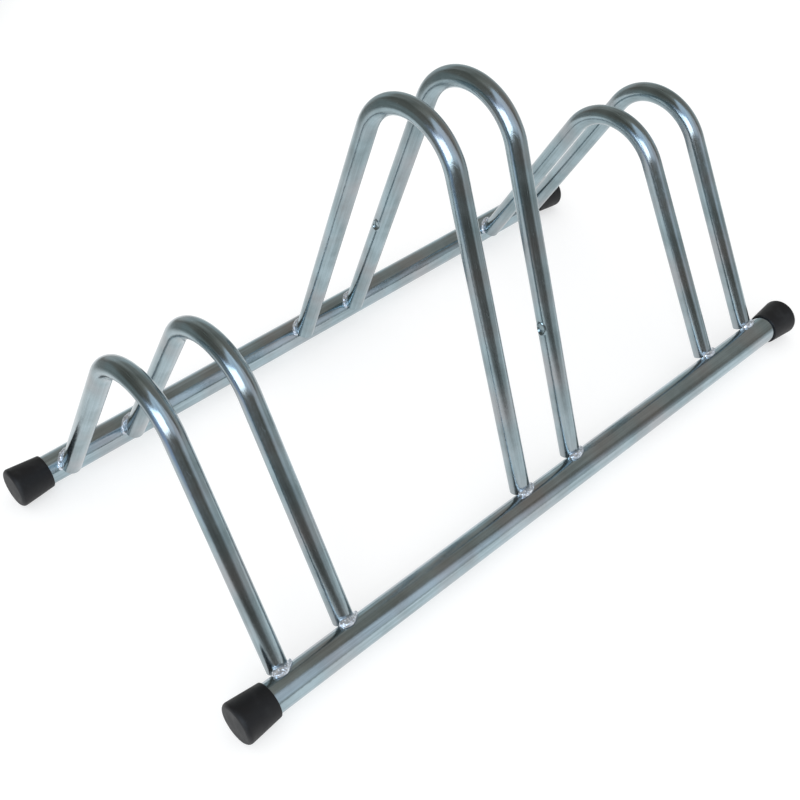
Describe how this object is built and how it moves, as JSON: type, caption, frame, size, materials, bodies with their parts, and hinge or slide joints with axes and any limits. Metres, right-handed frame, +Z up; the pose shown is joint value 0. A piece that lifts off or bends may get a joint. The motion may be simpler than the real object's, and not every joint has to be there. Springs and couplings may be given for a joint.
{
  "type": "floor bike rack",
  "caption": "Free-standing floor bicycle rack: straight tube rails on rubber end caps, with pairs of bent inverted-V tube hoops welded across them to hold a wheel.",
  "frame": {"origin": "on the floor, midway between the rails and midway along them", "axes": "+X along the rails, +Y from the front rail to the rear rail, +Z up"},
  "size_m": [0.781, 0.39, 0.379],
  "materials": {
    "zinc_rail": "bright blue-white zinc plating on drawn steel tube, smooth and glossy with faint draw lines",
    "zinc_hoop": "bright blue-white zinc plating on bent steel tube, glossy, slightly grained on the legs",
    "weld_bead": "rippled weld metal under the same bright zinc plating",
    "rubber_cap": "moulded black rubber, matte with a soft sheen"
  },
  "bodies": {
    "root": {"front_rail": "zinc_rail", "front_left_cap": "rubber_cap", "front_right_cap": "rubber_cap", "rear_rail": "zinc_rail", "rear_left_cap": "rubber_cap", "rear_right_cap": "rubber_cap", "left_pair_left_hoop": "zinc_hoop", "left_pair_left_front_weld": "weld_bead", "left_pair_left_rear_weld": "weld_bead", "left_pair_right_hoop": "zinc_hoop", "left_pair_right_front_weld": "weld_bead", "left_pair_right_rear_weld": "weld_bead", "middle_pair_left_hoop": "zinc_hoop", "middle_pair_left_front_weld": "weld_bead", "middle_pair_left_rear_weld": "weld_bead", "middle_pair_right_hoop": "zinc_hoop", "middle_pair_right_front_weld": "weld_bead", "middle_pair_right_rear_weld": "weld_bead", "right_pair_left_hoop": "zinc_hoop", "right_pair_left_front_weld": "weld_bead", "right_pair_left_rear_weld": "weld_bead", "right_pair_right_hoop": "zinc_hoop", "right_pair_right_front_weld": "weld_bead", "right_pair_right_rear_weld": "weld_bead"}
  },
  "joints": []
}
